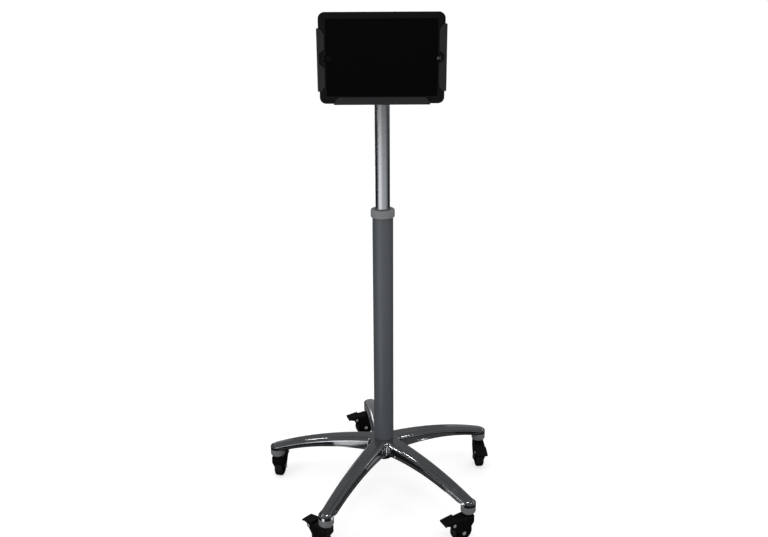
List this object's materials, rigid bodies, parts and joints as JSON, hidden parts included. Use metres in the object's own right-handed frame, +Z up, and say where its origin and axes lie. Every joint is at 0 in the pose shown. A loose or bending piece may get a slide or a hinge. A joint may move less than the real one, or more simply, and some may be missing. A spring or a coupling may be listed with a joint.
{
  "type": "rolling tablet stand",
  "caption": "Rolling floor stand for a tablet: polished star base on locking casters, dark column, sliding pole with a twist lock, and a tilting cradle that holds a cased tablet.",
  "frame": {"origin": "on the floor under the column's axis", "axes": "+Z up along the column, the tablet faces -Y"},
  "size_m": [0.5532, 0.5475, 1.15],
  "materials": {
    "polished_casting": "polished die casting",
    "column_paint": "satin dark grey powder coat",
    "collar_metal": "satin anodised grey",
    "satin_aluminium": "satin brushed",
    "black_paint": "fine textured black powder coat",
    "steel": "zinc plated",
    "stem_steel": "bright turned",
    "white_plastic": "natural acetal",
    "black_plastic": "moulded nylon, light sheen",
    "pedal_plastic": "moulded nylon, grained",
    "wheel_tread": "soft polyurethane tread",
    "case_rubber": "smooth matt silicone",
    "liner_foam": "thin foam pad",
    "tablet_metal": "bead blasted",
    "dark_glass": "black backed cover glass",
    "lens_glass": "coated lens",
    "button_plastic": "gloss black"
  },
  "bodies": {
    "base": {"star_base": "polished_casting", "base_cap": "black_plastic", "base_bolt": "steel", "base_washer": "steel", "column_plug": "steel", "column_tube": "column_paint", "collet": "white_plastic", "stem_1": "stem_steel", "stem_2": "stem_steel", "stem_3": "stem_steel", "stem_4": "stem_steel", "stem_5": "stem_steel"},
    "collar": {"lock_collar": "collar_metal"},
    "slider": {"pole_foot": "white_plastic"},
    "mast": {"pole": "satin_aluminium", "pole_head": "satin_aluminium"},
    "head": {"tilt_bracket": "black_paint", "friction_washers": "white_plastic", "tilt_bolt": "steel", "tilt_nut": "steel", "tray": "black_paint", "tray_screws": "steel", "tray_liner": "liner_foam"},
    "tablet": {"tablet_case": "case_rubber", "tablet_shell": "tablet_metal", "tablet_glass": "dark_glass", "camera_lens": "lens_glass"},
    "home_key": {"home_button": "button_plastic"},
    "caster_1": {"fork_1": "black_plastic", "axle_1": "steel", "pedal_pin_1": "steel"},
    "wheel_1": {"wheel_core_1": "black_plastic", "tyre_1": "wheel_tread"},
    "brake_1": {"pedal_1": "pedal_plastic"},
    "caster_2": {"fork_2": "black_plastic", "axle_2": "steel", "pedal_pin_2": "steel"},
    "wheel_2": {"wheel_core_2": "black_plastic", "tyre_2": "wheel_tread"},
    "brake_2": {"pedal_2": "pedal_plastic"},
    "caster_3": {"fork_3": "black_plastic", "axle_3": "steel", "pedal_pin_3": "steel"},
    "wheel_3": {"wheel_core_3": "black_plastic", "tyre_3": "wheel_tread"},
    "brake_3": {"pedal_3": "pedal_plastic"},
    "caster_4": {"fork_4": "black_plastic", "axle_4": "steel", "pedal_pin_4": "steel"},
    "wheel_4": {"wheel_core_4": "black_plastic", "tyre_4": "wheel_tread"},
    "brake_4": {"pedal_4": "pedal_plastic"},
    "caster_5": {"fork_5": "black_plastic", "axle_5": "steel", "pedal_pin_5": "steel"},
    "wheel_5": {"wheel_core_5": "black_plastic", "tyre_5": "wheel_tread"},
    "brake_5": {"pedal_5": "pedal_plastic"}
  },
  "joints": [
    {"name": "collar_twist", "type": "hinge", "parent": "base", "child": "collar", "pos_m": [0, 0, 0.715], "axis": [0, 0, 1], "range_deg": [0, 90]},
    {"name": "height_slide", "type": "slide", "parent": "base", "child": "slider", "axis": [0, 0, 1], "range_m": [-0.23, 0.15]},
    {"name": "mast_turn", "type": "hinge", "parent": "slider", "child": "mast", "pos_m": [0, 0, 0.42], "axis": [0, 0, 1], "continuous": true},
    {"name": "head_tilt", "type": "hinge", "parent": "mast", "child": "head", "pos_m": [0, 0, 1.059], "axis": [-1, 0, 0], "range_deg": [-12, 75]},
    {"name": "tablet_lift", "type": "slide", "parent": "head", "child": "tablet", "axis": [0, 0, 1], "range_m": [0, 0.185]},
    {"name": "home_press", "type": "slide", "parent": "tablet", "child": "home_key", "axis": [0, 1, 0], "range_m": [0, 0.0005], "stiffness_N_per_m": 500},
    {"name": "caster_1_swivel", "type": "hinge", "parent": "base", "child": "caster_1", "pos_m": [0.24648, 0.11968, 0.07], "axis": [0, 0, 1], "continuous": true},
    {"name": "wheel_1_roll", "type": "hinge", "parent": "caster_1", "child": "wheel_1", "pos_m": [0.2477, 0.10223, 0.025], "axis": [0.9976, 0.0698, 0], "continuous": true},
    {"name": "brake_1_tip", "type": "hinge", "parent": "caster_1", "child": "brake_1", "pos_m": [0.2495, 0.07651, 0.05264], "axis": [0.9976, 0.0698, 0], "range_deg": [0, 15]},
    {"name": "caster_2_swivel", "type": "hinge", "parent": "base", "child": "caster_2", "pos_m": [-0.03766, 0.2714, 0.07], "axis": [0, 0, 1], "continuous": true},
    {"name": "wheel_2_roll", "type": "hinge", "parent": "caster_2", "child": "wheel_2", "pos_m": [-0.05421, 0.2657, 0.025], "axis": [0.3256, -0.9455, 0], "continuous": true},
    {"name": "brake_2_tip", "type": "hinge", "parent": "caster_2", "child": "brake_2", "pos_m": [-0.07858, 0.25731, 0.05264], "axis": [0.3256, -0.9455, 0], "range_deg": [0, 15]},
    {"name": "caster_3_swivel", "type": "hinge", "parent": "base", "child": "caster_3", "pos_m": [-0.26975, 0.04805, 0.07], "axis": [0, 0, 1], "continuous": true},
    {"name": "wheel_3_roll", "type": "hinge", "parent": "caster_3", "child": "wheel_3", "pos_m": [-0.26671, 0.06528, 0.025], "axis": [-0.9848, 0.1736, 0], "continuous": true},
    {"name": "brake_3_tip", "type": "hinge", "parent": "caster_3", "child": "brake_3", "pos_m": [-0.26224, 0.09067, 0.05264], "axis": [-0.9848, 0.1736, 0], "range_deg": [0, 15]},
    {"name": "caster_4_swivel", "type": "hinge", "parent": "base", "child": "caster_4", "pos_m": [-0.12906, -0.2417, 0.07], "axis": [0, 0, 1], "continuous": true},
    {"name": "wheel_4_roll", "type": "hinge", "parent": "caster_4", "child": "wheel_4", "pos_m": [-0.14186, -0.22977, 0.025], "axis": [-0.682, -0.7314, 0], "continuous": true},
    {"name": "brake_4_tip", "type": "hinge", "parent": "caster_4", "child": "brake_4", "pos_m": [-0.16071, -0.21219, 0.05264], "axis": [-0.682, -0.7314, 0], "range_deg": [0, 15]},
    {"name": "caster_5_swivel", "type": "hinge", "parent": "base", "child": "caster_5", "pos_m": [0.18999, -0.19743, 0.07], "axis": [0, 0, 1], "continuous": true},
    {"name": "wheel_5_roll", "type": "hinge", "parent": "caster_5", "child": "wheel_5", "pos_m": [0.17426, -0.2051, 0.025], "axis": [0.4384, -0.8988, 0], "continuous": true},
    {"name": "brake_5_tip", "type": "hinge", "parent": "caster_5", "child": "brake_5", "pos_m": [0.15109, -0.2164, 0.05264], "axis": [0.4384, -0.8988, 0], "range_deg": [0, 15]}
  ]
}
